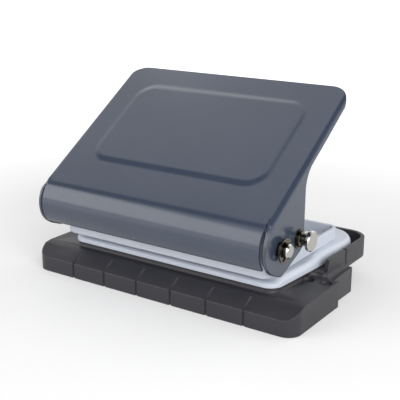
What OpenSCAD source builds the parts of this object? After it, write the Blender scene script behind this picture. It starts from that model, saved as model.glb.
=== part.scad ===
// Ten-hole desk punch: smoke chip tray, steel base plate, shallow punch frame,
// pressed lever handle, ten sprung punches and a press rod that locks the lever.
// X runs along the row of holes, Y to the rear, Z up. The origin is the middle
// of the face that stands on the desk.

/* [Tray] */
// How far the front block stands out beyond the rim, per side
shoulder_ledge = 6.2; // [4:0.1:9]
// Depth of the face that stands on the desk
tray_d = 77; // [74:0.5:90]
// Depth of the wide front block
front_block_d = 37.5; // [34:0.5:42]
// Depth from the front face to the rear of the middle block
middle_block_d = 55.5; // [50:0.5:60]
// How far the middle block is narrower than the front block, per side
block_step = 2.7; // [1:0.1:5]
// Width of the rear foot under the overhanging rim
foot_w = 84; // [60:1:100]
// Height of the upright part of the front face
front_wall_h = 6.7; // [4:0.1:9]
// Height of the crease where the front slope ends
slope_top_h = 10.7; // [9.8:0.1:11]
// Depth of the front slope
slope_d = 6.2; // [4:0.1:7]
// Height of the shoulder around the base plate
shoulder_h = 11.2; // [10.8:0.1:12]
// Wall thickness of the tray
tray_wall = 1.8; // [1.2:0.1:2.4]
// Radius of the front block's upright corners
tray_corner_r = 6; // [3:0.5:9]
// Distance between the grooves of the front face
groove_pitch = 17.5; // [14:0.5:19]
// Width of a groove
groove_w = 0.9; // [0.5:0.1:1.5]
// Depth of a groove
groove_depth = 0.6; // [0.3:0.1:0.9]
// Height of the rim above the desk
rim_top_h = 18; // [16:0.5:20]
// Height of the underside of the overhanging rim
rim_low_h = 9.3; // [8:0.1:10]
// Width of the relief slit in the rim
rim_slit_w = 0.8; // [0.5:0.1:1.5]

/* [Base plate] */
// How far the plate's front edge stands out beyond the frame, per side
plate_margin = 0.5; // [0:0.1:3]
// How much wider the plate gets towards the rear, per side
plate_flare = 5.5; // [2:0.1:7]
// Distance from the tray's front face to the plate's front edge
plate_setback = 9.5; // [8:0.5:12]
// Depth of the plate
plate_d = 69.5; // [64:0.5:74]
// Height of the plate's turned-down border
plate_h = 3.7; // [3:0.1:5]
// Thickness of the plate's sheet
plate_sheet = 1.2; // [0.8:0.1:1.8]
// Radius of the plate's rounded top edge
plate_edge_r = 3; // [2:0.1:3.6]

/* [Punch frame] */
// Distance from the last hole of the row to the frame's side
frame_end = 8.75; // [8:0.25:12]
// Distance from the tray's front face to the frame's front wall
frame_setback = 4.9; // [3:0.1:6]
// Depth of the frame
frame_d = 60.6; // [56:0.5:66]
// Height of the frame's walls
frame_h = 5.5; // [4.5:0.1:7]
// Thickness of the frame's sheet
frame_sheet = 1.5; // [1:0.1:2]
// Radius of the frame's bottom edge
frame_edge_r = 2; // [1.8:0.1:3]
// Height of the paper slot
slot_h = 1.7; // [1.2:0.1:2.5]
// Distance from the hole centres to the paper stop
paper_margin = 6.5; // [6:0.1:9]

/* [Punches] */
// Distance between holes
hole_pitch = 9.5; // [9.2:0.1:9.6]
// Diameter of a punch
punch_d = 5.5; // [5:0.1:6]
// Diameter of a punch head
punch_head_d = 8.6; // [8:0.1:8.8]
// Thickness of a punch head
punch_head_h = 1.6; // [1.2:0.1:2]
// Diameter of the spring wire
spring_wire_d = 0.5; // [0.4:0.05:0.6]
// Mean diameter of a spring
spring_d = 7.1; // [6.8:0.1:7.6]
// Turns of a spring
spring_turns = 5; // [3:1:6]

/* [Lever] */
// Room between an ear of the frame and the handle's cheek
cheek_room = 3.7; // [3:0.1:4.5]
// Thickness of the handle's sheet
handle_sheet = 1.2; // [0.8:0.1:1.5]
// Outer radius of the front roll
roll_r = 12; // [11.5:0.1:13]
// Height of the roll's axis above the pivot
roll_rise = 1.3; // [0.5:0.1:1.8]
// Angle of the top plate above level
handle_tilt = 33; // [30:0.5:38]
// Length of the top plate behind the roll's axis
handle_l = 75.7; // [70:0.1:85]
// Depth of the side flanges
flange_d = 3.4; // [3.2:0.1:5]
// Radius of the bend along the side edges
bend_r = 2.2; // [1.8:0.1:2.6]
// Radius of the rear corners
handle_corner_r = 9; // [5:0.5:14]
// Height of the raised panel
panel_h = 0.5; // [0.4:0.1:1.4]
// Distance from the handle's side to the raised panel
panel_side = 11.8; // [8:0.1:16]
// Distance from the roll's axis to the raised panel
panel_front = 14.8; // [12:0.1:24]
// Distance from the raised panel to the handle's rear edge
panel_rear = 10.6; // [8:0.1:16]
// Radius of the raised panel's corners
panel_corner_r = 10.5; // [6:0.5:14]
// Distance from the tray's front face to the pivot
pivot_setback = 5.3; // [4.5:0.1:6]
// Height of the pivot above the frame's floor
pivot_rise = 12.2; // [11.6:0.1:13]
// Diameter of the pivot pin
pivot_d = 5.7; // [4.5:0.1:6]
// Distance from the pivot to the press rod
lever_arm = 14.6; // [14:0.1:15.5]
// Angle through which the lever is pressed
press_angle = 19; // [16:0.5:20]
// Diameter of the press rod
rod_d = 5; // [4.5:0.1:5.2]
// Diameter of the rod's locking shank
shank_d = 6.2; // [6:0.1:6.4]
// Travel of the rod when it is pushed in to lock
lock_travel = 2.1; // [1.9:0.1:2.4]
// Diameter of the rod's knob
knob_d = 8.2; // [7.4:0.1:9]

/* [Clearances] */
// Radial clearance of turning and sliding fits
fit = 0.05; // [0.03:0.01:0.09]
// Gap between pieces that rest on each other or pass each other
gap = 0.3; // [0.2:0.05:0.4]

/* [Hidden] */
$fn = 64;
hole_count = 10;
eps = 0.01;

function two_digits(i) = i < 10 ? str("0", i) : str(i);
PUNCHES = [for (i = [1 : hole_count]) str("punch_", two_digits(i))];
SPRINGS = [for (i = [1 : hole_count]) str("spring_", two_digits(i))];

// Colours
smoke = [0.24, 0.24, 0.26];
pale_blue_grey = [0.80, 0.83, 0.88];
slate = [0.36, 0.38, 0.43];
nickel = [0.78, 0.77, 0.74];
steel = [0.62, 0.63, 0.65];
nylon = [0.90, 0.89, 0.85];

// Widths, built up from the row of holes
frame_w = (hole_count - 1) * hole_pitch + 2 * frame_end;
handle_w = frame_w + 2 * (cheek_room + handle_sheet);
plate_front_w = frame_w + 2 * plate_margin;
plate_rear_w = plate_front_w + 2 * plate_flare;
rim_room = 0.5;
rim_half = plate_rear_w / 2 + rim_room + tray_wall;
tray_w = 2 * (rim_half + shoulder_ledge);

// Places along Y, measured from the tray's front face
front_y = -tray_d / 2;
plate_y = front_y + plate_setback;
frame_y = front_y + frame_setback;
pivot_y = front_y + pivot_setback;

// Heights, stacked from the desk
lip_h = shoulder_h + 2;
plate_low_z = lip_h + gap;
plate_top_z = plate_low_z + plate_h;
frame_low_z = plate_top_z + slot_h;
floor_z = frame_low_z + frame_sheet;
frame_top_z = frame_low_z + frame_h;
pivot_z = floor_z + pivot_rise;

// Row of holes, under the middle of the press rod's swing
press_drop = lever_arm * sin(press_angle);
punch_y = pivot_y + lever_arm * (1 + cos(press_angle)) / 2;
function hole_x(i) = (i - (hole_count - 1) / 2) * hole_pitch;

// Punch heights
head_top_z = pivot_z - rod_d / 2 - 0.7 * gap;
head_low_z = head_top_z - punch_head_h;
punch_tip_z = frame_low_z + 0.7 * gap;

// Press rod and pivot along X
ear_out_x = frame_w / 2;
cheek_out_x = handle_w / 2;
cheek_in_x = cheek_out_x - handle_sheet;
bush_flange = 0.5;
bush_wall = 0.35;
clip_h = 0.7;
clip_r = 4.8;
clip_scallop_r = 1.3;
clip_scallop_in = 0.7;
pin_end = 4.3;
clip_stand = 1.6;
spacer_r = 5;
spacer_play = 0.1;
shank_start_x = ear_out_x + gap;
flare_x = cheek_out_x + bush_flange + lock_travel + gap;
knob_flare_l = 1.6;
knob_rim_l = 1.4;

// Handle seam and cheek
seam = 1.2;
cheek_r = roll_r - 0.5;
roll_half = cheek_in_x - seam;
roll_end_angle = 222;
channel_start = 0.9;
cheek_start_angle = 118;
cheek_end_angle = 248;
cheek_rear = lever_arm + shank_d / 2 + 0.9;
cheek_low_corner = [1.2, -roll_r - 0.9];
cheek_rear_corner = [cheek_rear, -5.7];
cheek_low_r = 3.5;
cheek_rear_r = 6;
sweep_r = 12;

// Rivets that join frame, stop and plate
rivet_r = 1.6;
rivet_head_r = 3;
rivet_head_h = 1.3;
stop_y = punch_y + paper_margin;
stop_d = 8;
rivet_end = 7.5;
stop_rivet_x = [for (k = [-1, -1 / 3, 1 / 3, 1]) k * (frame_w / 2 - rivet_end)];
seat_rivet_x = [for (k = [-1, 1]) k * (frame_w / 2 - 1.5 * rivet_end)];

// Rear of the base plate, pressed up as a seat for the frame
seat_rivet_y = frame_y + frame_d - frame_sheet - frame_edge_r - rivet_head_r;
seat_y = seat_rivet_y - 1.5 * rivet_head_r;
seat_slope_d = 10;

// Points of an arc
function arc_points(centre, r, from, to, n) =
  [for (i = [0 : n]) centre + r * [cos(from + (to - from) * i / n), sin(from + (to - from) * i / n)]];

// Points that round the corner b between a and c
function unit(v) = v / norm(v);
function wrap(a) = a - 360 * floor((a + 180) / 360);
function corner_points(a, b, c, r, n) =
  let (u = unit(a - b), v = unit(c - b), half = acos(u * v) / 2)
  let (m = b + unit(u + v) * r / sin(half), p = b + u * r / tan(half), q = b + v * r / tan(half))
  let (from = atan2(p[1] - m[1], p[0] - m[0]), to = atan2(q[1] - m[1], q[0] - m[0]))
  arc_points(m, r, from, from + wrap(to - from), n);

// Outline with each corner rounded by its own radius; a radius of 0 keeps the corner
function round_outline(pts, radii, n = 8) =
  let (k = len(pts))
  [for (i = [0 : k - 1])
     each radii[i] > 0
       ? corner_points(pts[(i + k - 1) % k], pts[i], pts[(i + 1) % k], radii[i], n)
       : [pts[i]]];

// Outline of the base plate, drawn in by an inset
function plate_outline(inset) =
  let (f = plate_front_w / 2 - inset, r = plate_rear_w / 2 - inset)
  let (y0 = plate_y + inset, y1 = plate_y + plate_d - inset)
  round_outline([[-f, y0], [f, y0], [r, y1], [-r, y1]],
                [6 - inset, 6 - inset, 14 - inset, 14 - inset]);

// Outline of the punch frame, drawn in by an inset
function frame_outline(inset) =
  let (w = frame_w / 2 - inset, y0 = frame_y + inset, y1 = frame_y + frame_d - inset)
  let (r = max(frame_edge_r + 2 - inset, 0.4))
  round_outline([[-w, y0], [w, y0], [w, y1], [-w, y1]], [r, r, r, r], 6);

// Turns a shape drawn in Y and Z into a bar along X
module along_x(from, to) {
  translate([from, 0, 0])
    rotate([90, 0, 90])
      linear_extrude(to - from)
        children();
}

module rod_x(r, from, to) {
  translate([from, 0, 0])
    rotate([0, 90, 0])
      cylinder(r = r, h = to - from);
}

// Mirrored copies on both sides of the middle plane
module both_sides() {
  children();
  mirror([1, 0, 0])
    children();
}

// Chip tray

function tray_half(step) = tray_w / 2 - step;

module tray_footprint(inset) {
  w = tray_half(inset);
  front_r = tray_corner_r - inset;
  polygon(round_outline(
    [[-w, front_y + inset], [w, front_y + inset],
     [w, front_y + front_block_d - inset], [-w, front_y + front_block_d - inset]],
    [front_r, front_r, 0, 0]));
  mw = tray_half(block_step + inset);
  translate([-mw, front_y + front_block_d / 2])
    square([2 * mw, middle_block_d - front_block_d / 2 - inset]);
  fw = foot_w / 2 - inset;
  translate([-fw, front_y + front_block_d])
    square([2 * fw, tray_d - front_block_d - inset]);
}

// Side profile of the block, with the front face drawn in by an inset
module tray_profile(inset, low, top) {
  polygon([[front_y + inset, low], [front_y + inset, front_wall_h - 0.3 * inset],
           [front_y + slope_d + 0.55 * inset, slope_top_h - inset],
           [front_y + plate_setback, top], [front_y + 2 * tray_d, top],
           [front_y + 2 * tray_d, low]]);
}

module tray_block() {
  intersection() {
    linear_extrude(shoulder_h)
      tray_footprint(0);
    along_x(-tray_w, tray_w)
      tray_profile(0, 0, shoulder_h);
  }
}

module tray_hollow() {
  intersection() {
    translate([0, 0, tray_wall])
      linear_extrude(shoulder_h)
        tray_footprint(tray_wall);
    along_x(-tray_w, tray_w)
      tray_profile(tray_wall, tray_wall, shoulder_h - tray_wall);
  }
}

rim_rear_room = 1;
rim_rear_y = plate_y + plate_d + rim_rear_room + tray_wall;
rim_front_y = front_y + front_block_d;
rim_slit_y = front_y + middle_block_d + 0.5;

module rim_footprint(inset) {
  w = rim_half - inset;
  r = 9 - inset;
  polygon(round_outline(
    [[-w, rim_front_y + inset], [w, rim_front_y + inset], [w, rim_rear_y - inset], [-w, rim_rear_y - inset]],
    [2 - inset, 2 - inset, r, r], 6));
}

module tray_rim() {
  difference() {
    translate([0, 0, rim_low_h])
      linear_extrude(rim_top_h - rim_low_h)
        rim_footprint(0);
    // Hollow of the rim, behind the relief slit
    intersection() {
      translate([0, 0, shoulder_h])
        linear_extrude(rim_top_h)
          rim_footprint(tray_wall);
      translate([-tray_w / 2, rim_slit_y, 0])
        cube([tray_w, tray_d, 2 * rim_top_h]);
    }
    translate([-tray_w / 2, rim_slit_y, shoulder_h])
      cube([tray_w, rim_slit_w, rim_top_h]);
    // In front of the slit the rim is a low ledge under the plate's edge
    translate([-tray_w / 2, front_y, lip_h])
      cube([tray_w, rim_slit_y + rim_slit_w / 2 - front_y, rim_top_h]);
  }
}

module tray_lip() {
  difference() {
    translate([0, 0, shoulder_h - tray_wall])
      linear_extrude(lip_h - shoulder_h + tray_wall)
        polygon(plate_outline(0.6));
    translate([0, 0, shoulder_h - 2 * tray_wall])
      linear_extrude(lip_h)
        polygon(plate_outline(0.6 + tray_wall));
  }
}

// Round sockets in the shoulder beside the base plate
socket_d = 5.2;
socket_depth = 1.2;

module tray_sockets() {
  both_sides() {
    translate([plate_front_w / 2 + 0.45 * socket_d, front_y + front_block_d - socket_d, shoulder_h - socket_depth])
      cylinder(d = socket_d, h = 2 * socket_depth);
    translate([tray_w / 2 - 0.75 * socket_d, front_y + front_block_d - 0.9 * socket_d, shoulder_h - socket_depth])
      cylinder(d = socket_d, h = 2 * socket_depth);
  }
}

module tray_grooves() {
  for (i = [0 : 5])
    translate([(i - 2.5) * groove_pitch, 0, 0])
      along_x(-groove_w / 2, groove_w / 2)
        difference() {
          polygon([[front_y - 1, -1], [front_y - 1, shoulder_h],
                   [front_y + slope_d, shoulder_h], [front_y + slope_d, -1]]);
          tray_profile(groove_depth, -2, shoulder_h + 1);
        }
}

module chip_tray() {
  color(smoke)
    difference() {
      union() {
        difference() {
          union() {
            tray_block();
            tray_rim();
            tray_lip();
          }
          tray_hollow();
          // Mouth of the chip chamber under the dies
          intersection() {
            translate([0, 0, tray_wall])
              linear_extrude(rim_top_h)
                polygon(plate_outline(0.6 + tray_wall));
            linear_extrude(rim_top_h)
              tray_footprint(tray_wall);
          }
        }
      }
      tray_grooves();
      tray_sockets();
    }
}

// Base plate

// Flat-bottomed form whose far edge is rounded: outline index 0 is the plate, 1 the frame
module rounded_form(which, inset, r, h) {
  steps = 5;
  hull() {
    linear_extrude(h - r)
      polygon(which == 0 ? plate_outline(inset) : frame_outline(inset));
    for (i = [1 : steps])
      let (a = 90 * i / steps)
      translate([0, 0, h - r])
        linear_extrude(r * sin(a))
          polygon(which == 0 ? plate_outline(inset + r * (1 - cos(a)))
                             : frame_outline(inset + r * (1 - cos(a))));
  }
}

module at_holes() {
  for (i = [0 : hole_count - 1])
    translate([hole_x(i), punch_y, 0])
      children();
}

module rivet_places() {
  stop_rivet_places()
    children();
  seat_rivet_places()
    children();
}

module stop_rivet_places() {
  for (x = stop_rivet_x)
    translate([x, stop_y + stop_d / 2, 0])
      children();
}

module seat_rivet_places() {
  for (x = seat_rivet_x)
    translate([x, seat_rivet_y, 0])
      children();
}

// Level plate with a slope up to the seat behind it, drawn in by an inset for the hollow side
module plate_form(inset) {
  r = plate_edge_r - inset;
  seat_h = plate_h + slot_h;
  translate([0, 0, plate_low_z - inset]) {
    rounded_form(0, inset, r, plate_h);
    intersection() {
      rounded_form(0, inset, r, seat_h);
      along_x(-tray_w, tray_w)
        polygon([[seat_y - seat_slope_d * (seat_h + 1) / slot_h, -1], [seat_y, seat_h], [seat_y, 2 * seat_h],
                 [seat_y + plate_d, 2 * seat_h], [seat_y + plate_d, -1]]);
    }
  }
}

module base_plate() {
  color(pale_blue_grey)
    difference() {
      plate_form(0);
      plate_form(plate_sheet);
      at_holes()
        translate([0, 0, plate_low_z])
          cylinder(d = punch_d + 2 * fit, h = 2 * plate_h);
      rivet_places()
        translate([0, 0, plate_low_z])
          cylinder(r = rivet_r + fit, h = 2 * plate_h);
    }
}

// Paper stop: a bar that holds the frame off the plate and ends the paper slot
module paper_stop() {
  color(steel)
    difference() {
      translate([-frame_w / 2 + 3, stop_y, plate_top_z])
        cube([frame_w - 6, stop_d, slot_h]);
      stop_rivet_places()
        translate([0, 0, plate_low_z])
          cylinder(r = rivet_r + fit, h = 4 * plate_h);
    }
}

// Domed rivets through frame, stop and plate, or through frame and seat
module rivet(rise) {
  low = plate_top_z + rise - plate_sheet - rivet_head_h;
  translate([0, 0, low])
    cylinder(r = rivet_r, h = floor_z + rivet_head_h / 2 - low);
  translate([0, 0, low])
    cylinder(r = rivet_head_r, h = rivet_head_h);
  intersection() {
    translate([0, 0, floor_z + rivet_head_h - 4])
      sphere(r = 4);
    translate([0, 0, floor_z])
      cylinder(r = rivet_head_r, h = rivet_head_h);
  }
}

module frame_rivets() {
  color(nickel) {
    stop_rivet_places()
      rivet(0);
    seat_rivet_places()
      rivet(slot_h);
  }
}

// Punch frame

ear_outline = round_outline(
  [[-0.4, frame_top_z - pivot_z - 2], [-7, -4], [-7, 7], [22, 7], [22, frame_top_z - pivot_z - 2]],
  [0, 3.5, 6, 6, 0]);

// Track of the press rod in an ear, with room at each end for a pin of its own size
module rod_track(track_w, end_d, from, to) {
  translate([from, 0, 0])
    rotate([0, 90, 0]) {
      rotate([0, 0, 90])
        translate([lever_arm, 0, 0])
          cylinder(d = end_d, h = to - from);
      rotate([0, 0, 90 - press_angle])
        translate([lever_arm, 0, 0])
          cylinder(d = end_d, h = to - from);
      rotate([0, 0, 90 - press_angle])
        rotate_extrude(angle = press_angle)
          translate([lever_arm - track_w / 2, 0])
            square([track_w, to - from]);
    }
}

module ear(side) {
  x0 = side > 0 ? ear_out_x - frame_sheet : -ear_out_x;
  translate([0, pivot_y, pivot_z])
    along_x(x0, x0 + frame_sheet)
      polygon(ear_outline);
}

module punch_frame() {
  color(pale_blue_grey)
    difference() {
      union() {
        difference() {
          translate([0, 0, frame_top_z])
            mirror([0, 0, 1])
              rounded_form(1, 0, frame_edge_r, frame_h);
          translate([0, 0, frame_top_z + frame_sheet])
            mirror([0, 0, 1])
              rounded_form(1, frame_sheet, frame_edge_r - frame_sheet, frame_h);
        }
        ear(1);
        ear(-1);
      }
      at_holes()
        translate([0, 0, frame_low_z - 1])
          cylinder(d = punch_d + 2 * fit, h = frame_h);
      rivet_places()
        translate([0, 0, frame_low_z - 1])
          cylinder(r = rivet_r + fit, h = frame_h);
      translate([0, pivot_y, pivot_z]) {
        rod_x(pivot_d / 2 + fit, -frame_w, frame_w);
        rod_track(rod_d + 2 * gap, rod_d + 3 * gap, -ear_out_x - 1, -ear_out_x + frame_sheet + 1);
        rod_track(rod_d + 2 * gap, shank_d + 2 * gap, ear_out_x - frame_sheet - 1, ear_out_x + 1);
      }
    }
}

// Pivot

clip_x = cheek_out_x + clip_stand;
clip_groove_r = pivot_d / 2 - 0.55;

module pivot_pin() {
  end_x = cheek_out_x + pin_end;
  chamfer = 0.6;
  color(nickel)
    translate([0, pivot_y, pivot_z])
      rotate([0, 90, 0])
        difference() {
          rotate_extrude()
            polygon([[0, -end_x], [pivot_d / 2 - chamfer, -end_x], [pivot_d / 2, -end_x + chamfer],
                     [pivot_d / 2, end_x - chamfer], [pivot_d / 2 - chamfer, end_x], [0, end_x]]);
          for (x = [clip_x - fit, -clip_x - clip_h - fit])
            translate([0, 0, x])
              difference() {
                cylinder(d = pivot_d + 2, h = clip_h + 2 * fit);
                cylinder(r = clip_groove_r, h = clip_h + 2 * fit);
              }
        }
}

// Nylon washers that centre the handle between the ears
module pivot_spacers() {
  color(nylon)
    translate([0, pivot_y, pivot_z])
      both_sides()
        difference() {
          rod_x(spacer_r, ear_out_x + spacer_play, cheek_in_x - spacer_play);
          rod_x(pivot_d / 2 + fit, 0, handle_w);
        }
}

// Open spring clip with three inner prongs, its mouth to the rear
module e_clip(groove_r) {
  linear_extrude(clip_h)
    difference() {
      circle(r = clip_r);
      circle(r = groove_r + fit);
      for (a = [60, -60])
        rotate(180 - a)
          translate([groove_r + clip_scallop_in, 0])
            circle(r = clip_scallop_r);
      translate([0, -groove_r - fit])
        square([2 * clip_r, 2 * (groove_r + fit)]);
    }
}

module clip_at(x, groove_r) {
  translate([x, 0, 0])
    rotate([90, 0, 90])
      e_clip(groove_r);
}

module pivot_clips() {
  color(nickel)
    translate([0, pivot_y, pivot_z]) {
      clip_at(clip_x, clip_groove_r);
      clip_at(-clip_x - clip_h, clip_groove_r);
    }
}

// Handle

// Places on the top plate: u along the slope and n square to it, both from the roll's axis
function on_plate(u, n) =
  [u * cos(handle_tilt) - n * sin(handle_tilt), u * sin(handle_tilt) + n * cos(handle_tilt)];

// Channel of top plate and side flanges, seen along the slope
module channel_section() {
  intersection() {
    difference() {
      channel_form(0);
      channel_form(handle_sheet);
    }
    translate([-handle_w, roll_r - flange_d])
      square([2 * handle_w, 2 * flange_d]);
  }
}

module channel_form(inset) {
  w = handle_w / 2 - inset;
  top = roll_r - inset;
  low = roll_r - flange_d - inset;
  r = bend_r - inset;
  translate([-w, low])
    square([2 * w, top - r - low]);
  translate([-w + r, low])
    square([2 * w - 2 * r, top - low]);
  for (x = [-w + r, w - r])
    translate([x, top - r])
      circle(r = r);
}

// Carries a shape drawn on the top plate, X across and Y up the slope, to its place
module to_plate(n) {
  rotate([handle_tilt, 0, 0])
    translate([0, 0, n])
      children();
}

module handle_channel() {
  intersection() {
    rotate([90 + handle_tilt, 0, 0])
      mirror([0, 0, 1])
        translate([0, 0, channel_start])
          linear_extrude(handle_l - channel_start)
            channel_section();
    to_plate(0)
      linear_extrude(2 * roll_r)
        polygon(round_outline(
          [[-handle_w / 2, -1], [handle_w / 2, -1], [handle_w / 2, handle_l], [-handle_w / 2, handle_l]],
          [0, 0, handle_corner_r, handle_corner_r]));
  }
}

// Raised panel with sloping sides
panel_bevel = 3;
panel_half = handle_w / 2 - panel_side;
panel_to = handle_l - panel_rear;

module raised_panel() {
  hull()
    for (step = [0, 1])
      to_plate(roll_r - 0.3)
        linear_extrude(0.3 + eps + step * (panel_h - eps))
          polygon(round_outline(
            [[-panel_half + panel_bevel * step, panel_front + panel_bevel * step],
             [panel_half - panel_bevel * step, panel_front + panel_bevel * step],
             [panel_half - panel_bevel * step, panel_to - panel_bevel * step],
             [-panel_half + panel_bevel * step, panel_to - panel_bevel * step]],
            [for (k = [0 : 3]) panel_corner_r - panel_bevel * step]));
}

// Roll seen from the side, with a strip of plate behind it
roll_strip = 6;
roll_section = concat(
  arc_points([0, 0], roll_r, roll_end_angle, 90 + handle_tilt, 32),
  [on_plate(roll_strip, roll_r), on_plate(roll_strip, roll_r - handle_sheet)],
  arc_points([0, 0], roll_r - handle_sheet, 90 + handle_tilt, roll_end_angle, 32));

module handle_roll() {
  along_x(-roll_half, roll_half)
    polygon(roll_section);
}

// Cheek: front edge in line with the roll, low corner, rear edge, then a hollow sweep into the flange
cheek_outline = concat(
  [on_plate(cheek_rear + 1.5 * sweep_r, roll_r - bend_r - 0.5), on_plate(2 * channel_start, roll_r - bend_r - 0.5)],
  arc_points([0, 0], cheek_r, cheek_start_angle + handle_tilt, cheek_end_angle, 14),
  corner_points(cheek_r * [cos(cheek_end_angle), sin(cheek_end_angle)], cheek_low_corner, cheek_rear_corner,
                cheek_low_r, 4),
  corner_points(cheek_low_corner, cheek_rear_corner, [cheek_rear, 0], cheek_rear_r, 5),
  corner_points(cheek_rear_corner,
                [cheek_rear, (cheek_rear * sin(handle_tilt) + roll_r - flange_d) / cos(handle_tilt)],
                on_plate(handle_l, roll_r - flange_d), sweep_r, 10));

module cheek(side) {
  x0 = side > 0 ? cheek_in_x : -cheek_out_x;
  along_x(x0, x0 + handle_sheet)
    polygon(cheek_outline);
}

module handle() {
  color(slate)
    translate([0, pivot_y, pivot_z])
      difference() {
        translate([0, 0, roll_rise]) {
          handle_channel();
          raised_panel();
          handle_roll();
          cheek(1);
          cheek(-1);
        }
        rod_x(pivot_d / 2 + fit, -handle_w, handle_w);
        translate([0, lever_arm, 0]) {
          rod_x(shank_d / 2 + fit + bush_wall, 0, handle_w);
          rod_x(rod_d / 2 + fit + bush_wall, -handle_w, 0);
        }
      }
}

// Flanged bushes that carry the press rod in the cheeks
module rod_bush(bore_r) {
  difference() {
    union() {
      rod_x(bore_r + bush_wall, cheek_in_x, cheek_out_x + bush_flange);
      rod_x(bore_r + bush_wall + 0.4, cheek_out_x, cheek_out_x + bush_flange);
    }
    rod_x(bore_r, 0, handle_w);
  }
}

module rod_bushes() {
  color(nickel)
    translate([0, pivot_y + lever_arm, pivot_z]) {
      rod_bush(shank_d / 2 + fit);
      mirror([1, 0, 0])
        rod_bush(rod_d / 2 + fit);
    }
}

// Press rod: thin along the punches, thicker where it locks, with a waisted knob

rod_clip_x = -cheek_out_x - bush_flange - gap - clip_h;
rod_groove_r = rod_d / 2 - 0.5;

module press_rod() {
  left_x = rod_clip_x - 1.6;
  waist_r = shank_d / 2 - 0.7;
  end_x = flare_x + knob_flare_l + knob_rim_l;
  chamfer = 0.4;
  color(nickel)
    translate([0, pivot_y + lever_arm, pivot_z])
      rotate([0, 90, 0])
        difference() {
          rotate_extrude()
            polygon(concat(
              [[0, left_x], [rod_d / 2 - chamfer, left_x], [rod_d / 2, left_x + chamfer],
               [rod_d / 2, shank_start_x], [shank_d / 2, shank_start_x], [shank_d / 2, flare_x - 1.6],
               [waist_r, flare_x - 1]],
              [for (i = [0 : 6])
                 [waist_r + (knob_d / 2 - waist_r) * (1 - cos(15 * i)),
                  flare_x + knob_flare_l * sin(15 * i)]],
              [[knob_d / 2, end_x - chamfer], [knob_d / 2 - chamfer, end_x], [0, end_x]]));
          translate([0, 0, rod_clip_x - fit])
            difference() {
              cylinder(d = rod_d + 2, h = clip_h + 2 * fit);
              cylinder(r = rod_groove_r, h = clip_h + 2 * fit);
            }
        }
}

module rod_clip() {
  color(nickel)
    translate([0, pivot_y + lever_arm, pivot_z])
      clip_at(rod_clip_x, rod_groove_r);
}

// Punches and their springs

module punch(i) {
  chamfer = 0.4;
  cut_r = 7;
  color(steel)
    translate([hole_x(i), punch_y, 0])
      difference() {
        rotate_extrude()
          polygon([[0, punch_tip_z], [punch_d / 2, punch_tip_z], [punch_d / 2, head_low_z],
                   [punch_head_d / 2, head_low_z], [punch_head_d / 2, head_top_z - chamfer],
                   [punch_head_d / 2 - chamfer, head_top_z], [0, head_top_z]]);
        // Hollow across the tip, which leaves two cutting points
        translate([0, 0, punch_tip_z + 0.9 - cut_r])
          rod_x(cut_r, -punch_d, punch_d);
      }
}

// Centre line of a spring: short upright ends and an even helix between them
spring_rings = 8;
spring_sides = 6;
spring_low_z = floor_z;
helix_low_z = spring_low_z + spring_wire_d;
helix_rise = head_low_z - spring_low_z - 2 * spring_wire_d;
helix_steps = spring_turns * spring_rings;
function helix_point(i) =
  [spring_d / 2 * cos(360 * i / spring_rings), spring_d / 2 * sin(360 * i / spring_rings),
   helix_low_z + helix_rise * i / helix_steps];
spring_path = concat(
  [[spring_d / 2, 0, spring_low_z]],
  [for (i = [0 : helix_steps]) helix_point(i)],
  [[spring_d / 2, 0, head_low_z]]);
path_last = len(spring_path) - 1;

// Least distance between turns, less the wire: points a whole turn apart
spring_gap = min([for (i = [1 : path_last - 1], j = [1 : path_last - 1])
                    if (j - i > spring_rings / 2) norm(spring_path[j] - spring_path[i])]) - spring_wire_d;
echo(spring_gap = spring_gap);

// Ring of points square to the wire; the ends lie flat on floor and head
function wire_ring(i) =
  let (p = spring_path[i])
  let (out = unit([p[0], p[1], 0]))
  let (along = i == 0 || i == path_last ? [0, 0, 1] : unit(spring_path[i + 1] - spring_path[i - 1]))
  let (side = unit(cross(along, out)))
  [for (k = [0 : spring_sides - 1])
     p + spring_wire_d / 2 * (out * cos(360 * k / spring_sides) + side * sin(360 * k / spring_sides))];

module spring(i) {
  points = [for (k = [0 : path_last]) each wire_ring(k)];
  s = spring_sides;
  faces = concat(
    [for (k = [1 : s - 2]) [0, k, k + 1]],
    [for (k = [0 : path_last - 1], m = [0 : s - 1])
       each [[k * s + m, (k + 1) * s + m, k * s + (m + 1) % s],
             [k * s + (m + 1) % s, (k + 1) * s + m, (k + 1) * s + (m + 1) % s]]],
    [for (k = [1 : s - 2]) [path_last * s, path_last * s + k + 1, path_last * s + k]]);
  color(steel)
    translate([hole_x(i), punch_y, 0])
      polyhedron(points, faces);
}

chip_tray();
base_plate();
paper_stop();
punch_frame();
frame_rivets();
pivot_pin();
pivot_spacers();
pivot_clips();
handle();
rod_bushes();
press_rod();
rod_clip();
for (i = [0 : hole_count - 1]) {
  punch(i);
  spring(i);
}
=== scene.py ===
import math

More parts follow.
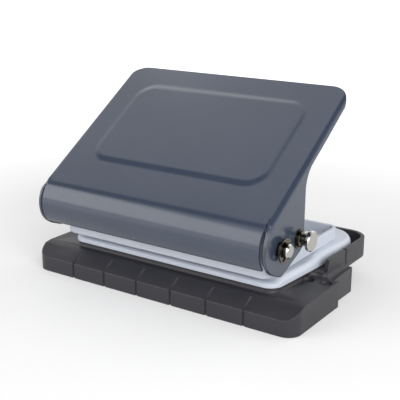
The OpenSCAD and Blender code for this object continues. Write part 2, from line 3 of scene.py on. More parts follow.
import bmesh
import bpy
import numpy as np
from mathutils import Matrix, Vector


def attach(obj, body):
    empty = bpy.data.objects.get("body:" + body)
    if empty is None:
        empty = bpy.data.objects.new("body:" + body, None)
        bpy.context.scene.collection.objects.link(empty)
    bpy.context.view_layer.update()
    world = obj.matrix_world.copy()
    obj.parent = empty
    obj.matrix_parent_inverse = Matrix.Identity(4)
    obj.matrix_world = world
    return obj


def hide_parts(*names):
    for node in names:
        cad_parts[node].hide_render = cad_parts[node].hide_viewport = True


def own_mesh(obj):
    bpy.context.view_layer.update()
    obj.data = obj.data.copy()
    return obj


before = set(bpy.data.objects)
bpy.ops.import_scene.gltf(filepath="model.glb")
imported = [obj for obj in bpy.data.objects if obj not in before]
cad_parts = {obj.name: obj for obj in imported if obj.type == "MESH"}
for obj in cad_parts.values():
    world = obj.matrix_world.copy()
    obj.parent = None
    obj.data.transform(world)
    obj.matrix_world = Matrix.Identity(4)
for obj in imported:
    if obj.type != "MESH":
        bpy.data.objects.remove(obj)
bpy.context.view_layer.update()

# Chip tray: the moulded tray that the punch stands on and that catches the chips.
# Smoke-tinted plastic, injection moulded in one piece; the front length of its rim is
# a mesh of its own. It turns at the base plate's front edge and opens at the rear.
mm = 0.001  # a millimetre in metres; plain sizes are in millimetres and plain angles in degrees
smoke_tones = ((0.030, 0.030, 0.037), (0.035, 0.034, 0.040))
smoke_gloss = (0.40, 0.48)
tray_edge = 0.35
mould_steps = 3
mould_turn = 30
outer_turn = 25
flat_turn = 0.5
weld = 0.001
sheet_weld = 0.002
ledge_z = 13.1
rim_x = (58.0, 59.8)
rim_path = [(0.9, 13.4), (2.0, 18.0), (17.1, 18.0)]  # depth and height of its top


def new_finish(name):
    """Node material with one Principled shader; gives the material, its node tree and the shader."""
    finish = bpy.data.materials.new(name)
    finish.use_nodes = True
    tree = finish.node_tree
    return finish, tree, tree.nodes["Principled BSDF"]


def grain(tree, scale, detail=3.0, crowd=(1, 1, 1)):
    """Noise on the piece's own coordinates, with scale times crowd cells to the metre along each axis."""
    place = tree.nodes.new("ShaderNodeTexCoord")
    crowding = tree.nodes.new("ShaderNodeMapping")
    crowding.inputs["Scale"].default_value = crowd
    noise = tree.nodes.new("ShaderNodeTexNoise")
    noise.inputs["Scale"].default_value = scale
    noise.inputs["Detail"].default_value = detail
    tree.links.new(place.outputs["Object"], crowding.inputs["Vector"])
    tree.links.new(crowding.outputs["Vector"], noise.inputs["Vector"])
    return noise.outputs["Fac"]


def tones(tree, amount, target, *stops):
    """Colour that runs through the stops, each a place from 0 to 1 and a colour, as amount grows."""
    ramp = tree.nodes.new("ShaderNodeValToRGB")
    marks = ramp.color_ramp.elements
    while len(marks) < len(stops):
        marks.new(0.5)
    for mark, (place, colour) in zip(marks, stops):
        mark.position = place
        mark.color = (*colour, 1)
    tree.links.new(amount, ramp.inputs["Fac"])
    tree.links.new(ramp.outputs["Color"], target)


def spread(tree, amount, target, low, high, reach=(0.3, 0.7)):
    """Value that goes from low to high as amount goes over its reach, which is 0.3 to 0.7 for a noise."""
    scaled = tree.nodes.new("ShaderNodeMapRange")
    scaled.inputs["From Min"].default_value = reach[0]
    scaled.inputs["From Max"].default_value = reach[1]
    scaled.inputs["To Min"].default_value = low
    scaled.inputs["To Max"].default_value = high
    tree.links.new(amount, scaled.inputs["Value"])
    tree.links.new(scaled.outputs["Result"], target)


def relief(tree, height, shader, depth):
    """Bump of the given depth from a height between 0 and 1."""
    bump = tree.nodes.new("ShaderNodeBump")
    bump.inputs["Strength"].default_value = 1.0
    bump.inputs["Distance"].default_value = depth * mm
    tree.links.new(height, bump.inputs["Height"])
    tree.links.new(bump.outputs["Normal"], shader.inputs["Normal"])


def placed(name, mesh):
    """Object with the mesh, shaded smooth and linked to the scene at the origin."""
    mesh.polygons.foreach_set("use_smooth", np.ones(len(mesh.polygons), bool))
    made = bpy.data.objects.new(name, mesh)
    bpy.context.scene.collection.objects.link(made)
    return made


def joined_copy(name, node):
    """Copy of a CAD node with equal corners joined, flat neighbours made one face and outer edges marked."""
    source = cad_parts[node].data
    corners = np.empty(len(source.vertices) * 3, np.float32)
    source.vertices.foreach_get("co", corners)
    triangles = np.empty(len(source.loops), np.int32)
    source.loops.foreach_get("vertex_index", triangles)
    mesh = bpy.data.meshes.new(name)
    mesh.from_pydata(corners.reshape(-1, 3).astype(float), [], triangles.reshape(-1, 3).tolist())
    work = bmesh.new()
    work.from_mesh(mesh)
    bmesh.ops.remove_doubles(work, verts=work.verts, dist=weld * mm)
    bmesh.ops.dissolve_limit(work, angle_limit=math.radians(flat_turn), verts=work.verts, edges=work.edges)
    outer_edge = work.edges.layers.float.new("bevel_weight_edge")
    for edge in work.edges:
        if edge.is_manifold and edge.calc_face_angle_signed() > math.radians(outer_turn):
            edge[outer_edge] = 1.0
    work.to_mesh(mesh)
    work.free()
    return placed(name, mesh)


def rounded_edges(made, name, width, segments, turn=None, clamp=False):
    """Rounds the edges that turn by more than turn degrees or, where none is given, the marked ones."""
    edges = made.modifiers.new(name, "BEVEL")
    edges.width = width * mm
    edges.segments = segments
    edges.limit_method = "WEIGHT"
    if turn is not None:
        edges.limit_method = "ANGLE"
        edges.angle_limit = math.radians(turn)
    edges.use_clamp_overlap = clamp
    edges.harden_normals = True


def sheet_faces(rows, columns, closed, turned):
    """Corner numbers of a grid's quads; closed joins last column and first, turned flips the faces."""
    row = np.arange(rows - 1)[:, None]
    column = np.arange(columns if closed else columns - 1)
    across = (column + 1) % columns
    quad = np.stack([row * columns + column, row * columns + across,
                     (row + 1) * columns + across, (row + 1) * columns + column], -1)
    return (quad[..., ::-1] if turned else quad).reshape(-1, 4)


def made_of_sheets(name, sheets, finish):
    """Piece from grids of points, each with its closed and turned flags and a mask of the quads it keeps."""
    points, quads, total = [], [], 0
    for grid, closed, turned, kept in sheets:
        faces = sheet_faces(*grid.shape[:2], closed, turned)
        if kept is not None:
            faces = faces[kept.reshape(-1)]
        points.append(grid.reshape(-1, 3))
        quads.append(faces + total)
        total += len(points[-1])
    mesh = bpy.data.meshes.new(name)
    mesh.from_pydata(np.concatenate(points) * mm, [], np.concatenate(quads).tolist())
    work = bmesh.new()
    work.from_mesh(mesh)
    bmesh.ops.remove_doubles(work, verts=work.verts, dist=sheet_weld * mm)
    bmesh.ops.dissolve_degenerate(work, edges=work.edges, dist=weld * mm)
    bmesh.ops.delete(work, geom=[v for v in work.verts if not v.link_faces], context="VERTS")
    work.to_mesh(mesh)
    work.free()
    mesh.materials.append(finish)
    return placed(name, mesh)


def rim_wall(side):
    """Front length of the rim: an upright section carried along the depth, a ramp in front, ends closed."""
    x = side * np.array([rim_x[1], rim_x[1], rim_x[0], rim_x[0]])
    rows = [np.stack([x, np.full(4, y), (ledge_z, top, top, ledge_z)], -1) for y, top in rim_path]
    ends = [np.repeat(row.mean(0, keepdims=True), 4, 0) for row in (rows[0], rows[-1])]
    return np.stack([ends[0], *rows, ends[1]]), True, side > 0, None


smoke_plastic, tree, shader = new_finish("smoke_plastic")
tones(tree, grain(tree, 26, 2), shader.inputs["Base Color"], (0.30, smoke_tones[0]), (0.72, smoke_tones[1]))
spread(tree, grain(tree, 900, 3), shader.inputs["Roughness"], *smoke_gloss)
relief(tree, grain(tree, 1200, 2), shader, 0.006)
shader.inputs["Specular IOR Level"].default_value = 0.35

tray = joined_copy("tray_shell", "chip_tray")
rounded_edges(tray, "moulded_edges", tray_edge, mould_steps)
tray.data.materials.append(smoke_plastic)
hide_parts("chip_tray")
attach(tray, "tray")

front_rim = made_of_sheets("tray_front_rim", [rim_wall(1), rim_wall(-1)], smoke_plastic)
rounded_edges(front_rim, "moulded_edges", tray_edge, mould_steps, mould_turn, clamp=True)
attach(front_rim, "tray")

# Base plate: the pressed steel pan, hollow side down, with the row of ten die holes.
# Sheet steel with a turned-down border and a rounded edge, enamelled pale blue-grey;
# it dips to a lead-in for the paper in front and rises to the frame's seat at the rear.
hole_count = 10
hole_pitch = 9.5
hole_row_y = -19.0
hole_r = 2.8
hole_x = (np.arange(hole_count) - (hole_count - 1) / 2) * hole_pitch
plate_y = (-29.0, 40.5)
plate_half = (52.0, 57.5)  # front and rear
plate_corner = (6.0, 14.0)  # front and rear
plate_z = (13.5, 17.2)
plate_edge = 2.2
plate_sheet = 1.2
seat_slope = (-1.0, 9.0)
seat_rise = 1.7
lead_slope = (-22.5, -26.0)
lead_drop = 1.3
cut_edge = 0.2
cut_steps = 2
cut_turn = 50
pale_tones = ((0.60, 0.645, 0.73), (0.63, 0.675, 0.755))
pale_gloss = (0.40, 0.48)
cell_points = 24
spoke_points = 5
border_points = 3
quarter_points = 13
floor_points = 9


def corner_arc(before, corner, after, radius, count):
    """Arc of count points; it touches a corner's two sides at radius over the tangent of half its angle."""
    a = (before - corner) / np.linalg.norm(before - corner)
    b = (after - corner) / np.linalg.norm(after - corner)
    half = np.arccos(np.clip(a @ b, -1, 1)) / 2
    centre = corner + (a + b) / np.linalg.norm(a + b) * radius / np.sin(half)
    start = corner + a * radius / np.tan(half) - centre
    end = corner + b * radius / np.tan(half) - centre
    from_angle = np.arctan2(start[1], start[0])
    turn = (np.arctan2(end[1], end[0]) - from_angle + np.pi) % (2 * np.pi) - np.pi
    angle = from_angle + turn * np.linspace(0, 1, count)
    return centre + radius * np.stack([np.cos(angle), np.sin(angle)], -1)


def four_sided_ring(corners, radii):
    """Closed outline with four sides, front first: each side is half an arc, a straight and half an arc."""
    half_arc = cell_points // 3
    corners = np.asarray(corners, float)
    arcs = [corner_arc(corners[i - 1], corners[i], corners[(i + 1) % 4], radii[i], 2 * half_arc + 1)
            for i in range(4)]
    sides = []
    for i in range(4):
        count = cell_points * (hole_count if i % 2 == 0 else 1) - 2 * half_arc
        leave, meet = arcs[i][half_arc:], arcs[(i + 1) % 4][:half_arc]
        share = np.linspace(0, 1, count + 1)[1:, None]
        straight = leave[-1] + (meet[0] - leave[-1]) * share
        sides += [leave, straight[:-1], meet]
    return np.concatenate(sides)


def hole_row_ring():
    """Outline of the row of square cells round the holes, with the count and order of a plate's outline."""
    x = (np.arange(hole_count * cell_points) / cell_points - hole_count / 2) * hole_pitch
    y = (np.arange(cell_points) / cell_points - 0.5) * hole_pitch
    end = hole_count * hole_pitch / 2
    front = np.stack([x, np.full_like(x, -hole_pitch / 2)], -1)
    right = np.stack([np.full_like(y, end), y], -1)
    return np.concatenate([front, right, -front, -right]) + [0, hole_row_y]


def hole_cells(height):
    """Ten square cells, each with straight spokes from its square edge to the round hole in its middle."""
    step = np.arange(cell_points) / cell_points - 0.5
    low = np.full_like(step, -0.5)
    square = np.concatenate([np.stack(side, -1) for side in
                             [(step, low), (-low, step), (-step, -low), (low, -step)]]) * hole_pitch
    round_edge = square / np.linalg.norm(square, axis=1, keepdims=True) * hole_r
    share = np.linspace(0, 1, spoke_points)[:, None, None]
    spokes = square + (round_edge - square) * share
    middles = np.stack([hole_x, np.full_like(hole_x, hole_row_y)], -1)
    cells = spokes + middles[:, None, None]
    return np.concatenate([cells, np.full(cells.shape[:-1] + (1,), height)], -1)


def flat(ring, height):
    """Ring of points at one height."""
    return np.concatenate([ring, np.full((len(ring), 1), height)], -1)


def plate_ring(inset):
    """Outline of the base plate drawn in by inset: narrower in front, wider behind."""
    front, rear = plate_half[0] - inset, plate_half[1] - inset
    y0, y1 = plate_y[0] + inset, plate_y[1] - inset
    return four_sided_ring([(-front, y0), (front, y0), (rear, y1), (-rear, y1)],
                           [plate_corner[0] - inset] * 2 + [plate_corner[1] - inset] * 2)


def edge_rounded_pan(outline, edge, rim, far):
    """Rings of a shallow pan: upright border, quarter round of the edge radius, then flat to the holes."""
    way = np.sign(far - rim)
    turn = np.linspace(0, np.pi / 2, quarter_points)
    border = [flat(outline(0), z) for z in np.linspace(rim, far - way * edge, border_points)[:-1]]
    quarter = [flat(outline(edge * (1 - np.cos(a))), far - way * edge * (1 - np.sin(a))) for a in turn]
    inner, outer = hole_row_ring(), outline(edge)
    floor = [flat(outer + (inner - outer) * s, far) for s in np.linspace(0, 1, floor_points)[1:]]
    return np.stack(border + quarter + floor)


def smooth_step(value, start, end):
    """Rises from 0 at start to 1 at end, level at both."""
    share = np.clip((value - start) / (end - start), 0, 1)
    return share * share * (3 - 2 * share)


def with_seat(rings):
    """Heights over the border's edge, grown by a smooth step in depth at the seat and shrunk in front."""
    depth, height = rings[..., 1], rings[..., 2]
    rise = seat_rise * smooth_step(depth, *seat_slope) - lead_drop * smooth_step(depth, *lead_slope)
    growth = 1 + rise / (plate_z[1] - plate_z[0])
    raised = plate_z[0] + (height - plate_z[0]) * growth
    return np.concatenate([rings[..., :2], raised[..., None]], -1)


def thicken(made, sheet, edge):
    """Gives a sheet its thickness on the inside and breaks its cut edges."""
    wall = made.modifiers.new("sheet", "SOLIDIFY")
    wall.thickness = sheet * mm
    wall.offset = -1
    wall.use_quality_normals = True
    rounded_edges(made, "cut_edges", edge, cut_steps, cut_turn)


def enamel(name, dark, light, gloss):
    """Baked enamel on steel: a faint drift of tone, fine specks and the orange-peel of a sprayed coat."""
    finish, tree, shader = new_finish(name)
    tones(tree, grain(tree, 40, 4), shader.inputs["Base Color"], (0.34, dark), (0.66, light))
    spread(tree, grain(tree, 1500, 3), shader.inputs["Roughness"], *gloss)
    relief(tree, grain(tree, 700, 1), shader, 0.012)
    shader.inputs["IOR"].default_value = 1.6
    return finish


pale_enamel = enamel("pale_enamel", *pale_tones, pale_gloss)
base_plate = made_of_sheets(
    "base_pan",
    [(with_seat(edge_rounded_pan(plate_ring, plate_edge, *plate_z)), True, False, None)]
    + [(cell, True, False, None) for cell in hole_cells(plate_z[1])],
    pale_enamel)
thicken(base_plate, plate_sheet, cut_edge)
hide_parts("base_plate")
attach(base_plate, "base")

# Paper stop: a flat steel bar, cut from strip, that holds the punch frame off the
# base plate and so leaves the slot for the paper, which it stops. Riveted through.
steel_tones = ((0.46, 0.47, 0.49), (0.60, 0.61, 0.62))
steel_gloss = (0.24, 0.42)


def bright_steel(name, crowd):
    """Cold-drawn steel: fine scratches, long along the axis of least crowd, with a light grey drift."""
    finish, tree, shader = new_finish(name)
    scratches = grain(tree, 500, 3, crowd)
    tones(tree, scratches, shader.inputs["Base Color"], (0.3, steel_tones[0]), (0.7, steel_tones[1]))
    spread(tree, scratches, shader.inputs["Roughness"], *steel_gloss)
    relief(tree, scratches, shader, 0.008)
    shader.inputs["Metallic"].default_value = 1.0
    return finish


def dress(finish, *nodes):
    """Gives CAD nodes their finish."""
    for node in nodes:
        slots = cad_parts[node].data.materials
        slots.clear()
        slots.append(finish)


dress(bright_steel("strip_steel", (0.15, 4, 4)), "paper_stop")

# Punch frame: the shallow tray of pale enamelled steel that guides the punches,
# pressed from sheet with upturned walls; its two ears carry the pivot pin and
# have a curved slot for the press rod. Rivets hold it down on stop and plate.
frame_y = (-33.6, 27.0)
frame_half = 51.5
frame_z = (24.4, 18.9)
frame_corner = 4.0
frame_edge = 0.8
frame_sheet = 1.5
pivot_y, pivot_z = -33.2, 32.6
lever_arm = 14.6
press_swing = 19.0
pin_hole_r = 2.9
slot_half = 2.8
slot_end_r = {1: 3.4, -1: 2.95}  # right and left
ear_set = 0.03
ear_corners = np.array([(-0.4, -10.2), (-7.0, -4.0), (-7.0, 7.0), (22.0, 7.0), (22.0, -10.2)])
ear_nose_arc = (3.5, 9)  # radius and points
ear_crown_arc = (6.0, 15)  # radius and points
ear_columns = 88
ear_rows = 54
window_margin = 2
spoke_reach = 8.0
spoke_steps = 1601


def frame_ring(inset):
    """Outline of the punch frame drawn in by inset."""
    half, y0, y1 = frame_half - inset, frame_y[0] + inset, frame_y[1] - inset
    return four_sided_ring([(-half, y0), (half, y0), (half, y1), (-half, y1)], [frame_corner - inset] * 4)


def between(low, top, rows):
    """Grid between two edges given point by point: rows in even steps from the low edge to the top edge."""
    share = np.linspace(0, 1, rows)[:, None, None]
    return low + (top - low) * share


def all_quads(grid):
    """Mask that keeps every quad of an open grid."""
    return np.ones((grid.shape[0] - 1, grid.shape[1] - 1), bool)


def rod_place(turn):
    """Depth and height of the press rod about the pivot when the handle has gone down by turn degrees."""
    return lever_arm * np.array([math.cos(math.radians(turn)), -math.sin(math.radians(turn))])


def round_hole(centre, radius):
    """Test for points inside a round hole."""
    return lambda points: np.linalg.norm(points - centre, axis=-1) < radius


def rod_slot(end_r):
    """Test for points inside the slot: a band about the pivot, twice slot_half wide, with round ends."""
    upper_end, lower_end = round_hole(rod_place(0), end_r), round_hole(rod_place(press_swing), end_r)

    def inside(points):
        angle = np.degrees(np.arctan2(points[..., 1], points[..., 0]))
        off = np.abs(np.linalg.norm(points, axis=-1) - lever_arm)
        band = (off < slot_half) & (angle < 0) & (angle > -press_swing)
        return band | upper_end(points) | lower_end(points)

    return inside


def opened(grid, kept, centre, inside):
    """Takes a window of quads round a hole out of kept, and gives the spokes from it to the hole's edge."""
    rows, columns = np.nonzero(inside(grid))
    top = max(rows.min() - window_margin, 0)
    left = max(columns.min() - window_margin, 0)
    low = min(rows.max() + window_margin, grid.shape[0] - 1)
    right = min(columns.max() + window_margin, grid.shape[1] - 1)
    kept[top:low, left:right] = False
    window = np.concatenate([grid[top, left:right], grid[top:low, right],
                             grid[low, right:left:-1], grid[low:top:-1, left]])
    away = window - centre
    away /= np.linalg.norm(away, axis=-1, keepdims=True)
    steps = np.linspace(0, spoke_reach, spoke_steps)
    reach = (inside(centre + away[:, None] * steps[:, None]) * steps).max(1)
    return between(window, centre + away * reach[:, None], spoke_points)


def upright(grid, x):
    """Puts a grid drawn in depth and height about the pivot on an upright plane at x."""
    depth, height = grid[..., 0] + pivot_y, grid[..., 1] + pivot_z
    return np.stack([np.full_like(depth, x), depth, height], -1)


def ear_sheets(side):
    """One ear: columns from its sloping low edge to its rounded top, then rings round hole and slot."""
    front_foot, nose_low, nose_top, rear_top, rear_foot = ear_corners
    nose = corner_arc(nose_top, nose_low, front_foot, *ear_nose_arc)
    low_edge = np.concatenate([nose, [front_foot, rear_foot]])
    top_edge = np.concatenate([corner_arc(nose_low, nose_top, rear_top, *ear_crown_arc),
                               corner_arc(nose_top, rear_top, rear_foot, *ear_crown_arc)])
    y = np.linspace(nose_low[0], rear_top[0], ear_columns)
    low = np.stack([y, np.interp(y, *low_edge.T)], -1)
    top = np.stack([y, np.interp(y, *top_edge.T)], -1)
    grid = between(low, top, ear_rows)
    kept = all_quads(grid)
    pivot = np.zeros(2)
    rings = [opened(grid, kept, pivot, round_hole(pivot, pin_hole_r)),
             opened(grid, kept, rod_place(press_swing / 2), rod_slot(slot_end_r[side]))]
    x = side * (frame_half - ear_set)
    return [(upright(grid, x), False, side < 0, kept),
            *[(upright(ring, x), True, side < 0, None) for ring in rings]]


punch_frame = made_of_sheets(
    "frame_pan",
    [(edge_rounded_pan(frame_ring, frame_edge, *frame_z), True, True, None)]
    + [(cell, True, True, None) for cell in hole_cells(frame_z[1])]
    + ear_sheets(1) + ear_sheets(-1),
    pale_enamel)
thicken(punch_frame, frame_sheet, cut_edge)
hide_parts("punch_frame")
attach(punch_frame, "base")

# Rivets: six domed steel rivets, nickel plated. Four go through frame, stop and plate,
# and two through the frame and the plate's rear seat.
# The nickel's colour runs from bright to nickel_half_shade and nickel_painted_shade by ambient occlusion:
# painted shade in hollows and crevices.
nickel_bright = (0.50, 0.48, 0.455)
nickel_half_shade = (0.14, 0.13, 0.10)
nickel_painted_shade = (0.030, 0.027, 0.018)
nickel_gloss = (0.12, 0.26)
hollow_reach = 4.0


def plated_nickel(name, crowd, bright):
    """Nickel plate on steel: faint tool rings, a warm cast, and painted shade that darkens the colour in the
    hollows.
    """
    finish, tree, shader = new_finish(name)
    rings = grain(tree, 600, 2, crowd)
    # Painted shade: ambient occlusion darkens the base colour where the surface is hollow or crowded by
    # other parts.
    hollow = tree.nodes.new("ShaderNodeAmbientOcclusion")
    hollow.inputs["Distance"].default_value = hollow_reach * mm
    tones(tree, hollow.outputs["AO"], shader.inputs["Base Color"],
          (0.50, nickel_painted_shade), (0.80, nickel_half_shade), (0.97, bright))
    spread(tree, rings, shader.inputs["Roughness"], *nickel_gloss)
    relief(tree, rings, shader, 0.006)
    shader.inputs["Metallic"].default_value = 1.0
    return finish


dress(plated_nickel("rivet_nickel", (1, 1, 1), nickel_bright), "frame_rivets")

# Pivot: a turned pin across the ears, nylon washers that centre the handle on it
# and an open spring clip, stamped from plate, in the groove at each end.
# The clips take the nickel finish painted dark all over: painted shade on the clips.
clip_shaded_bright = (0.13, 0.12, 0.10)
nylon_tones = ((0.74, 0.73, 0.69), (0.82, 0.81, 0.77))
nylon_gloss = (0.42, 0.56)
nylon_depth = 1.0

turned_nickel = plated_nickel("turned_nickel", (8, 0.4, 0.4), nickel_bright)
dress(turned_nickel, "pivot_pin")
dress(plated_nickel("clip_shaded_nickel", (1, 1.5, 1.5), clip_shaded_bright), "pivot_clips", "rod_clip")

nylon, tree, shader = new_finish("white_nylon")
tones(tree, grain(tree, 120, 3), shader.inputs["Base Color"], (0.3, nylon_tones[0]), (0.7, nylon_tones[1]))
spread(tree, grain(tree, 1600, 2), shader.inputs["Roughness"], *nylon_gloss)
relief(tree, grain(tree, 1800, 2), shader, 0.015)
shader.inputs["Subsurface Weight"].default_value = 0.15
shader.inputs["Subsurface Radius"].default_value = [nylon_depth * mm] * 3
dress(nylon, "pivot_spacers")

# Handle: one sheet of steel, rolled over the pivot in front, with a raised panel
# pressed in its top, its sides folded down into flanges and deep cheeks that turn
# on the pivot pin. Slate-grey gloss enamel. The roll stops short of the cheeks.
lever_tilt = math.radians(33)
handle_half = 56.4
handle_sheet = 1.2
handle_cut_edge = 0.28
slate_tones = ((0.040, 0.054, 0.084), (0.044, 0.058, 0.090))
slate_gloss = (0.17, 0.23)
fold_r = 2.2
fold_start = 0.9
fold_rows = 10
roll_r = 11.99
roll_rise = 1.3
roll_half = 54.0
roll_end = 222.0
roll_rows = 40
top_length = 75.7
top_columns = 168
slope_rows = 124
rear_corner = 9.0
flange_n = 9.4
flange_runout = 20.0
panel_half = (44.6, 25.15)
panel_middle = 39.95
panel_corner = 10.5
panel_rise = 0.4
panel_border = 3.4
cheek_r = 11.5
cheek_chin = 248.0
cheek_low = [(-4.31, -10.66), (1.2, -12.9), (18.6, -5.7)]  # chin, foot and heel
chin_points = 24
foot_arc = (3.5, 12)  # radius and points
heel_arc = (6.0, 14)  # radius and points
waist_arc = (12.0, 24)  # radius and points
nose_end = -5.0
nose_set = 0.03
nose_columns = 40
least_bend = 1e-3
side_rows = 46
bush_hole_r = {1: 3.52, -1: 2.92}  # right and left
slope = np.linspace(0, 1, slope_rows)
level_to_lever = np.array([[math.cos(lever_tilt), -math.sin(lever_tilt)],
                           [math.sin(lever_tilt), math.cos(lever_tilt)]])


def on_lever(x, along, off):
    """Place on the lever: x across, along the slope behind the roll's axis, off square to the slope."""
    across, along, off = np.broadcast_arrays(x, along, off)
    y = along * math.cos(lever_tilt) - off * math.sin(lever_tilt)
    z = along * math.sin(lever_tilt) + off * math.cos(lever_tilt)
    return np.stack([across, y + pivot_y, z + pivot_z + roll_rise], -1)


def rear_edge(x):
    """Length of the top at x: full in the middle, drawn in by a quarter round at the rear corners."""
    over = np.clip(np.abs(x) - (handle_half - rear_corner), 0, rear_corner)
    return top_length - rear_corner + np.sqrt(rear_corner ** 2 - over ** 2)


def panel_height(x, along):
    """Height of the raised panel: a smooth step over its border, inwards from a rounded rectangle."""
    past_x = np.abs(x) - (panel_half[0] - panel_corner)
    past_y = np.abs(along - panel_middle) - (panel_half[1] - panel_corner)
    past_corner = np.hypot(np.maximum(past_x, 0), np.maximum(past_y, 0))
    outside = past_corner + np.minimum(np.maximum(past_x, past_y), 0) - panel_corner
    return panel_rise * smooth_step(-outside, 0, panel_border)


def rolled_top():
    """Roll and top as one grid: rows up the roll's arc and then up the slope, columns across the handle."""
    half = handle_half - fold_r
    x = np.linspace(-1, 1, top_columns) * half
    angle = np.linspace(math.radians(roll_end) - lever_tilt, math.pi / 2, roll_rows)[:, None]
    roll = on_lever(x * roll_half / half, roll_r * np.cos(angle), roll_r * np.sin(angle))
    along = fold_start + slope[:, None] * (rear_edge(x) - fold_start)
    top = on_lever(x, along, roll_r + panel_height(x, along))
    return np.concatenate([roll, top]), False, False, None


def side_low_edge():
    """Low edge of a side: round the nose, along the cheek's foot, up its rear and along the flange."""
    turn = np.linspace(math.pi, math.radians(cheek_chin) - lever_tilt, chin_points)[:-1]
    chin, foot, heel = np.array(cheek_low) @ level_to_lever
    rear_y = cheek_low[2][0]
    waist_z = (rear_y * math.sin(lever_tilt) + flange_n) / math.cos(lever_tilt)
    waist = np.array([rear_y, waist_z]) @ level_to_lever
    flange_end = top_length - rear_corner
    flange = np.array([(flange_end - flange_runout, flange_n), (flange_end, roll_r - fold_r)])
    return np.concatenate([
        cheek_r * np.stack([np.cos(turn), np.sin(turn)], -1),
        corner_arc(chin, foot, heel, *foot_arc),
        corner_arc(foot, heel, waist, *heel_arc),
        corner_arc(heel, waist, flange[0], *waist_arc),
        flange])


def side_sheets(side):
    """One side as one grid: columns up the slope, rows from the low edge up the flat and round the fold.

    Ahead of the top, a smooth step unbends the fold's arc into the flat nose of the cheek, where the arc is
    at most half as long as the column is high. Two rings of spokes follow, for the pivot and for the bush.
    """
    tip = nose_set - cheek_r
    ahead = tip + (fold_start - tip) * np.linspace(0, 1, nose_columns)[:-1] ** 2
    share = np.concatenate([np.zeros_like(ahead), slope])
    along = np.concatenate([ahead, fold_start + slope * (rear_edge(handle_half) - fold_start)])
    low = np.interp(along, *side_low_edge().T)
    bent = 1 - smooth_step(along, fold_start, nose_end)
    top = np.sqrt((cheek_r + (roll_r - cheek_r) * bent) ** 2 - np.minimum(along, 0) ** 2)
    full_arc = fold_r * math.pi / 2
    arc = np.where(along > fold_start, full_arc, np.minimum(full_arc, (top - low) / 2))
    bend = np.maximum(bent, least_bend) * math.pi / 2
    bend_r = arc / bend
    base = top - bend_r * np.sin(bend)
    grid = between(np.stack([along, low], -1), np.stack([along, base], -1), side_rows)
    kept = all_quads(grid)
    pivot, bush = np.array([(0, -roll_rise), (lever_arm, -roll_rise)]) @ level_to_lever
    rings = [opened(grid, kept, pivot, round_hole(pivot, pin_hole_r)),
             opened(grid, kept, bush, round_hole(bush, bush_hole_r[side]))]
    turned = np.linspace(0, 1, fold_rows)[1:, None] * bend
    x = handle_half - bend_r * (1 - np.cos(turned))
    fold_along = np.where(along < fold_start, along, fold_start + share * (rear_edge(x) - fold_start))
    fold = on_lever(side * x, fold_along, base + bend_r * np.sin(turned))
    kept = np.concatenate([kept, np.ones((len(fold), kept.shape[1]), bool)])
    cheek, *rings = [on_lever(side * handle_half, part[..., 0], part[..., 1]) for part in (grid, *rings)]
    return [(np.concatenate([cheek, fold]), False, side < 0, kept),
            *[(ring, True, side < 0, None) for ring in rings]]


slate_enamel = enamel("slate_enamel", *slate_tones, slate_gloss)
handle = made_of_sheets(
    "lever_handle",
    [rolled_top(), *side_sheets(1), *side_sheets(-1)],
    slate_enamel)
thicken(handle, handle_sheet, handle_cut_edge)
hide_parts("handle")
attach(handle, "handle")

# Press rod: a turned steel rod across the handle, nickel plated, that bears on the
# punch heads; its waisted knob is pushed in to lock the handle down. It slides in
# two flanged bushes pressed into the cheeks, and a clip keeps its left end.
dress(turned_nickel, "press_rod", "rod_bushes")

# Punches: ten turned and hardened steel pins with flat heads. A hollow cut across
# each tip leaves two cutting points; the pins slide in the holes of the frame.
dress(bright_steel("punch_steel", (2, 2, 0.3)), *[f"punch_{i:02d}" for i in range(1, hole_count + 1)])

# Punch springs: a coil of spring wire round each punch, between frame and head,
# with its two ends standing on them; they lift the punches and the handle.
coil_r = 3.55
wire_r = 0.25
coil_turns = 5
coil_z = (20.4, 28.29)
coil_end = 0.5
turn_points = 36
wire_points = 10


def coils():
    """Ten wire tubes: a ring of points carried along a helix, square to it, with short upright ends."""
    turn = np.linspace(0, 2 * np.pi * coil_turns, turn_points * coil_turns + 1)
    rise = np.linspace(coil_z[0] + coil_end, coil_z[1] - coil_end, len(turn))
    path = np.stack([coil_r * np.cos(turn), coil_r * np.sin(turn), rise], -1)
    ends = np.array([[coil_r, 0, coil_z[0]], [coil_r, 0, coil_z[1]]])
    path = np.concatenate([ends[:1], path, ends[1:]])
    along = np.gradient(path, axis=0)
    along[[0, -1]] = (0, 0, 1)
    along /= np.linalg.norm(along, axis=1, keepdims=True)
    outward = path * (1, 1, 0)
    outward /= np.linalg.norm(outward, axis=1, keepdims=True)
    beside = np.cross(along, outward)
    beside /= np.linalg.norm(beside, axis=1, keepdims=True)
    ring = np.linspace(0, 2 * np.pi, wire_points, endpoint=False)[:, None]
    tube = path[:, None] + wire_r * (outward[:, None] * np.cos(ring) + beside[:, None] * np.sin(ring))
    caps = np.repeat(path[[0, -1], None], wire_points, 1)
    tube = np.concatenate([caps[:1], tube, caps[1:]])
    return [(tube + (x, hole_row_y, 0), True, False, None) for x in hole_x]


springs = made_of_sheets("punch_springs", coils(), bright_steel("spring_wire", (1, 1, 1)))
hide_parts(*[f"spring_{i:02d}" for i in range(1, hole_count + 1)])
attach(springs, "base")
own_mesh(springs)

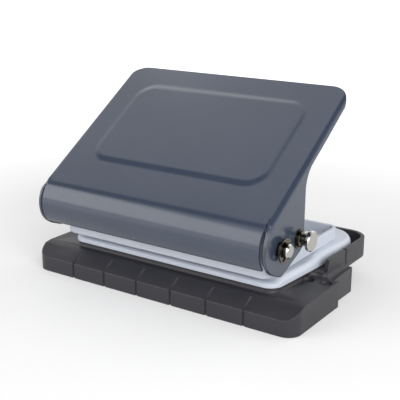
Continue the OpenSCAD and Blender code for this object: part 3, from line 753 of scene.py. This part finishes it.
# Studio: a white floor that glows far off, for the eye and in reflections alone, a dark
# ceiling with an open corner that only reflections show, four soft lamps round the
# punch and a white world. The camera stands on the right, in front and a little above.
floor_span = (-6000.0, 6000.0)
floor_z = -0.05
floor_tones = ((0.80, 0.80, 0.80), (0.82, 0.82, 0.82))
glow_level = (0.20, 1.0)
glow_reach = (0.15, 0.70)  # metres from the origin
ceiling_x = (-1300.0, -180.0, 2000.0)
ceiling_y = (-420.0, -40.0, 1200.0)
ceiling_z = 1000.0
ceiling_tones = ((0.004, 0.004, 0.004), (0.006, 0.006, 0.006))
world_level = (0.45, 1.0)  # as light, and as seen


def level_sheet(x, y, z, turned):
    """Level rectangle at height z between two places along x and two along y."""
    x, y = np.meshgrid(x, y, indexing="xy")
    return np.stack([x, y, np.full_like(x, z)], -1), False, turned, None


def matt_paint(name, scale, roughness, dark, light):
    """Paint without gloss: a faint drift of tone, with scale cells to the metre."""
    finish, tree, shader = new_finish(name)
    tones(tree, grain(tree, scale, 2), shader.inputs["Base Color"], (0.3, dark), (0.7, light))
    shader.inputs["Roughness"].default_value = roughness
    shader.inputs["Specular IOR Level"].default_value = 0.0
    return finish, tree, shader


def any_ray(tree, first, *others):
    """One for a ray of any of the named kinds and zero for others: the largest of the light path's flags."""
    flags = tree.nodes.new("ShaderNodeLightPath")
    value = flags.outputs[first]
    for kind in others:
        larger = tree.nodes.new("ShaderNodeMath")
        larger.operation = "MAXIMUM"
        tree.links.new(value, larger.inputs[0])
        tree.links.new(flags.outputs[kind], larger.inputs[1])
        value = larger.outputs["Value"]
    return value


white_paint, tree, shader = matt_paint("white_sweep", 3, 0.9, *floor_tones)
place = tree.nodes.new("ShaderNodeTexCoord")
away = tree.nodes.new("ShaderNodeVectorMath")
away.operation = "LENGTH"
lift = tree.nodes.new("ShaderNodeMath")
lift.operation = "MULTIPLY"
glow = tree.nodes.new("ShaderNodeEmission")
both = tree.nodes.new("ShaderNodeAddShader")
tree.links.new(place.outputs["Object"], away.inputs[0])
tree.links.new(any_ray(tree, "Is Camera Ray", "Is Glossy Ray"), lift.inputs[0])
spread(tree, away.outputs["Value"], lift.inputs[1], *glow_level, glow_reach)
tree.links.new(lift.outputs["Value"], glow.inputs["Strength"])
tree.links.new(shader.outputs["BSDF"], both.inputs[0])
tree.links.new(glow.outputs["Emission"], both.inputs[1])
tree.links.new(both.outputs["Shader"], tree.nodes["Material Output"].inputs["Surface"])
floor = made_of_sheets("floor", [level_sheet(floor_span, floor_span, floor_z, False)], white_paint)

dark_paint, *_ = matt_paint("dark_paint", 40, 0.95, *ceiling_tones)
ceiling = made_of_sheets(
    "ceiling",
    [level_sheet(x, y, ceiling_z, True) for x, y in
     [(ceiling_x[:2], ceiling_y[:2]), (ceiling_x[1:], ceiling_y[:2]), (ceiling_x[1:], ceiling_y[1:])]],
    dark_paint)
ceiling.visible_camera = False
ceiling.visible_diffuse = False
ceiling.visible_shadow = False
ceiling.visible_transmission = False


def soft_light(name, place, aim, size, watts):
    """Rectangular soft lamp at a place, turned to its aim; all in metres."""
    lamp = bpy.data.lights.new(name, "AREA")
    lamp.shape = "RECTANGLE"
    lamp.size, lamp.size_y = size
    lamp.energy = watts
    made = bpy.data.objects.new(name, lamp)
    made.location = place
    made.rotation_euler = (Vector(aim) - Vector(place)).to_track_quat("-Z", "Y").to_euler()
    bpy.context.scene.collection.objects.link(made)


soft_light("front_left", (-0.646, -0.77, 0.50), (0, -0.02, 0.04), (0.85, 0.80), 4.1)
soft_light("right", (0.81, -0.57, 0.49), (0, 0, 0.03), (0.8, 0.7), 8.2)
soft_light("rear_right", (0.54, 0.84, 0.66), (0, 0, 0.03), (1.1, 0.9), 2.5)
soft_light("rear_left", (-0.60, 0.49, 0.80), (0, 0, 0.05), (0.5, 0.4), 0.5)

world = bpy.data.worlds.new("white_studio")
world.use_nodes = True
bpy.context.scene.world = world
tree = world.node_tree
background = tree.nodes["Background"]
background.inputs["Color"].default_value = (1, 1, 1, 1)
seen = any_ray(tree, "Is Camera Ray", "Is Glossy Ray", "Is Transmission Ray")
spread(tree, seen, background.inputs["Strength"], *world_level, reach=(0, 1))

eye = Vector((0.2020, -0.2974, 0.1424))
target = Vector((0.0025, -0.0076, 0.0362))
lens = bpy.data.cameras.new("camera")
lens.sensor_width = 36.0
lens.lens = 77.4
lens.clip_start = 0.01
camera = bpy.data.objects.new("camera", lens)
camera.location = eye
camera.rotation_euler = (target - eye).to_track_quat("-Z", "Y").to_euler()
bpy.context.scene.collection.objects.link(camera)
bpy.context.scene.camera = camera
bpy.context.scene.view_settings.view_transform = "Standard"
